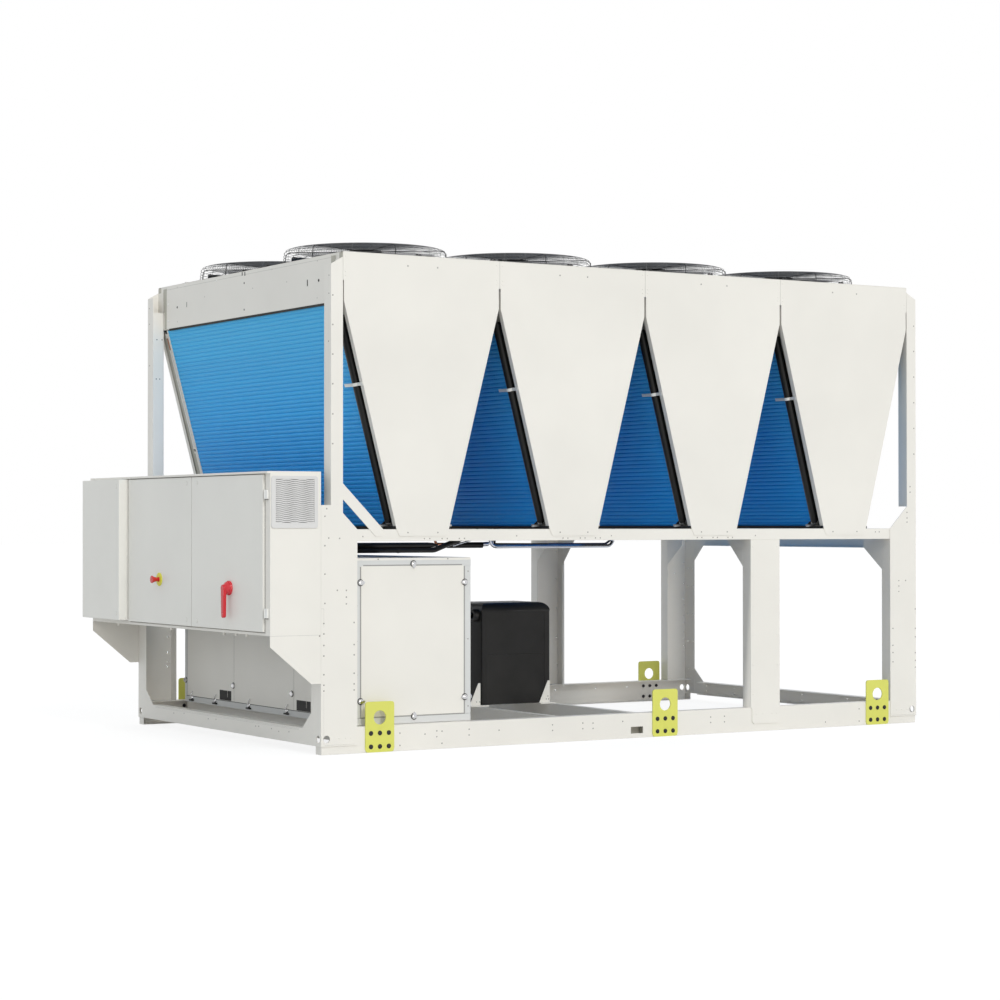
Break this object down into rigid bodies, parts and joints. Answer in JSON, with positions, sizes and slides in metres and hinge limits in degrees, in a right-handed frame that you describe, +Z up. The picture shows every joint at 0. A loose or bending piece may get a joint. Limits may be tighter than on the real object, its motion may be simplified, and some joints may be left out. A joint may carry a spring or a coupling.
{
  "type": "air-cooled water chiller",
  "caption": "Air-cooled water chiller: V-shaped condenser coils under roof fans on an open steel base frame, with an electrical cabinet on one end and lifting lugs.",
  "frame": {"origin": "on the ground under the middle of the machine's outer box", "axes": "+X along the length from the cabinet towards the other end, +Y across from the side seen in the picture to the far side, +Z up"},
  "size_m": [4.1234, 2.236, 2.541],
  "materials": {
    "ivory_paint": "satin powder coat, warm white",
    "grey_paint": "satin, light grey frame profiles",
    "blue_fins": "blue epoxy coated coil face",
    "black_plastic": "moulded black fan blades",
    "black_insulation": "closed-cell foam insulation",
    "bare_tube": "bare drawn tube",
    "yellow_paint": "satin lime yellow",
    "red_plastic": "gloss red operating parts"
  },
  "bodies": {
    "chiller": {"base_rail_near": "ivory_paint", "base_rail_far": "ivory_paint", "end_sill_front": "ivory_paint", "end_sill_rear": "ivory_paint", "cross_member_1": "ivory_paint", "cross_member_2": "ivory_paint", "front_post_near": "ivory_paint", "front_post_far": "ivory_paint", "mid_post_near": "ivory_paint", "mid_post_far": "ivory_paint", "rear_post_near": "ivory_paint", "rear_post_far": "ivory_paint", "deck_rail_near": "ivory_paint", "deck_rail_far": "ivory_paint", "deck_beam_front": "ivory_paint", "deck_beam_mid": "ivory_paint", "deck_beam_rear": "ivory_paint", "fascia_front": "ivory_paint", "fascia_rear": "ivory_paint", "v_panel_near_1": "ivory_paint", "v_panel_near_2": "ivory_paint", "v_panel_near_3": "ivory_paint", "v_panel_near_4": "ivory_paint", "v_panel_far_1": "ivory_paint", "v_panel_far_2": "ivory_paint", "v_panel_far_3": "ivory_paint", "v_panel_far_4": "ivory_paint", "v_coil_1": "blue_fins", "v_coil_2": "blue_fins", "v_coil_3": "blue_fins", "v_coil_4": "blue_fins", "fan_deck_1": "ivory_paint", "fan_deck_2": "ivory_paint", "fan_deck_3": "ivory_paint", "fan_deck_4": "ivory_paint", "cabinet_body": "ivory_paint", "compressor_housing": "grey_paint", "evaporator": "black_insulation", "suction_pipe": "black_insulation", "liquid_pipe": "bare_tube", "lifting_lug_near_1": "yellow_paint", "lifting_lug_near_2": "yellow_paint", "lifting_lug_near_3": "yellow_paint", "lifting_lug_far_1": "yellow_paint", "lifting_lug_far_2": "yellow_paint", "lifting_lug_far_3": "yellow_paint"},
    "fan_rotor_near_1": {"fan_rotor_near_1": "black_plastic"},
    "fan_rotor_near_2": {"fan_rotor_near_2": "black_plastic"},
    "fan_rotor_near_3": {"fan_rotor_near_3": "black_plastic"},
    "fan_rotor_near_4": {"fan_rotor_near_4": "black_plastic"},
    "fan_rotor_far_1": {"fan_rotor_far_1": "black_plastic"},
    "fan_rotor_far_2": {"fan_rotor_far_2": "black_plastic"},
    "fan_rotor_far_3": {"fan_rotor_far_3": "black_plastic"},
    "fan_rotor_far_4": {"fan_rotor_far_4": "black_plastic"},
    "cabinet_door_1": {"cabinet_door_1": "ivory_paint"},
    "cabinet_door_2": {"cabinet_door_2": "ivory_paint"},
    "cabinet_cover": {"cabinet_cover": "ivory_paint"},
    "main_switch_handle": {"main_switch_handle": "red_plastic"},
    "emergency_stop_button": {"emergency_stop_button": "red_plastic"}
  },
  "joints": [
    {"name": "fan_spin_near_1", "type": "hinge", "parent": "chiller", "child": "fan_rotor_near_1", "pos_m": [-1.15375, -0.512, 2.495], "axis": [0, 0, 1], "continuous": true},
    {"name": "fan_spin_near_2", "type": "hinge", "parent": "chiller", "child": "fan_rotor_near_2", "pos_m": [-0.25375, -0.512, 2.495], "axis": [0, 0, 1], "continuous": true},
    {"name": "fan_spin_near_3", "type": "hinge", "parent": "chiller", "child": "fan_rotor_near_3", "pos_m": [0.64625, -0.512, 2.495], "axis": [0, 0, 1], "continuous": true},
    {"name": "fan_spin_near_4", "type": "hinge", "parent": "chiller", "child": "fan_rotor_near_4", "pos_m": [1.54625, -0.512, 2.495], "axis": [0, 0, 1], "continuous": true},
    {"name": "fan_spin_far_1", "type": "hinge", "parent": "chiller", "child": "fan_rotor_far_1", "pos_m": [-1.15375, 0.512, 2.495], "axis": [0, 0, 1], "continuous": true},
    {"name": "fan_spin_far_2", "type": "hinge", "parent": "chiller", "child": "fan_rotor_far_2", "pos_m": [-0.25375, 0.512, 2.495], "axis": [0, 0, 1], "continuous": true},
    {"name": "fan_spin_far_3", "type": "hinge", "parent": "chiller", "child": "fan_rotor_far_3", "pos_m": [0.64625, 0.512, 2.495], "axis": [0, 0, 1], "continuous": true},
    {"name": "fan_spin_far_4", "type": "hinge", "parent": "chiller", "child": "fan_rotor_far_4", "pos_m": [1.54625, 0.512, 2.495], "axis": [0, 0, 1], "continuous": true},
    {"name": "door_1_swing", "type": "hinge", "parent": "chiller", "child": "cabinet_door_1", "pos_m": [-2.01025, 0.583, 0.982], "axis": [0, 0, -1], "range_deg": [0, 90]},
    {"name": "door_2_swing", "type": "hinge", "parent": "chiller", "child": "cabinet_door_2", "pos_m": [-2.01025, -1.055, 0.982], "axis": [0, 0, 1], "range_deg": [0, 110]},
    {"name": "cover_swing", "type": "hinge", "parent": "chiller", "child": "cabinet_cover", "pos_m": [-1.99855, 1.112, 0.982], "axis": [0, 0, -1], "range_deg": [0, 110]},
    {"name": "main_switch_turn", "type": "hinge", "parent": "cabinet_door_2", "child": "main_switch_handle", "pos_m": [-2.02875, -0.684, 0.807], "axis": [1, 0, 0], "range_deg": [0, 90]},
    {"name": "emergency_stop_push", "type": "slide", "parent": "cabinet_door_1", "child": "emergency_stop_button", "axis": [1, 0, 0], "range_m": [0, 0.006]}
  ]
}
